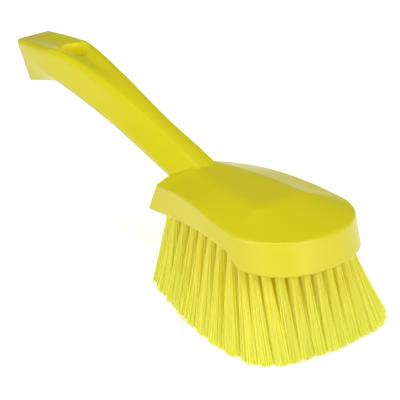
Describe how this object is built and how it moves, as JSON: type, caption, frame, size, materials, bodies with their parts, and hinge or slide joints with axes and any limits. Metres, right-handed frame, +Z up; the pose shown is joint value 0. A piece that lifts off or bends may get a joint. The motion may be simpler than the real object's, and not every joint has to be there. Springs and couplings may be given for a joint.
{
  "type": "wash brush",
  "caption": "Short-handled wash brush: a yellow moulded block and arched handle in one piece, with a hang hole, and splayed tufts of stiff yellow bristle.",
  "frame": {"origin": "on the ground under the middle of the bounding box; the brush stands on the tips of its bristles", "axes": "+X runs from the handle's end to the nose of the block, +Z is up, away from the bristle tips, and Y runs across, with the brush alike on both sides of y = 0"},
  "size_m": [0.2774, 0.0997, 0.1011],
  "materials": {
    "body_polypropylene": "satin",
    "bristle_polyester": "semi-gloss"
  },
  "bodies": {
    "root": {"brush_body": "body_polypropylene", "tuft_outer_01": "bristle_polyester", "tuft_outer_02": "bristle_polyester", "tuft_outer_03": "bristle_polyester", "tuft_outer_04": "bristle_polyester", "tuft_outer_05": "bristle_polyester", "tuft_outer_06": "bristle_polyester", "tuft_outer_07": "bristle_polyester", "tuft_outer_08": "bristle_polyester", "tuft_outer_09": "bristle_polyester", "tuft_outer_10": "bristle_polyester", "tuft_outer_11": "bristle_polyester", "tuft_outer_12": "bristle_polyester", "tuft_outer_13": "bristle_polyester", "tuft_outer_14": "bristle_polyester", "tuft_outer_15": "bristle_polyester", "tuft_outer_16": "bristle_polyester", "tuft_outer_17": "bristle_polyester", "tuft_outer_18": "bristle_polyester", "tuft_outer_19": "bristle_polyester", "tuft_outer_20": "bristle_polyester", "tuft_outer_21": "bristle_polyester", "tuft_outer_22": "bristle_polyester", "tuft_outer_23": "bristle_polyester", "tuft_outer_24": "bristle_polyester", "tuft_outer_25": "bristle_polyester", "tuft_outer_26": "bristle_polyester", "tuft_outer_27": "bristle_polyester", "tuft_outer_28": "bristle_polyester", "tuft_outer_29": "bristle_polyester", "tuft_outer_30": "bristle_polyester", "tuft_outer_31": "bristle_polyester", "tuft_outer_32": "bristle_polyester", "tuft_outer_33": "bristle_polyester", "tuft_outer_34": "bristle_polyester", "tuft_middle_01": "bristle_polyester", "tuft_middle_02": "bristle_polyester", "tuft_middle_03": "bristle_polyester", "tuft_middle_04": "bristle_polyester", "tuft_middle_05": "bristle_polyester", "tuft_middle_06": "bristle_polyester", "tuft_middle_07": "bristle_polyester", "tuft_middle_08": "bristle_polyester", "tuft_middle_09": "bristle_polyester", "tuft_middle_10": "bristle_polyester", "tuft_middle_11": "bristle_polyester", "tuft_middle_12": "bristle_polyester", "tuft_middle_13": "bristle_polyester", "tuft_middle_14": "bristle_polyester", "tuft_middle_15": "bristle_polyester", "tuft_middle_16": "bristle_polyester", "tuft_inner_01": "bristle_polyester", "tuft_inner_02": "bristle_polyester", "tuft_inner_03": "bristle_polyester", "tuft_inner_04": "bristle_polyester", "tuft_inner_05": "bristle_polyester", "tuft_inner_06": "bristle_polyester", "tuft_inner_07": "bristle_polyester", "tuft_inner_08": "bristle_polyester"}
  },
  "joints": []
}
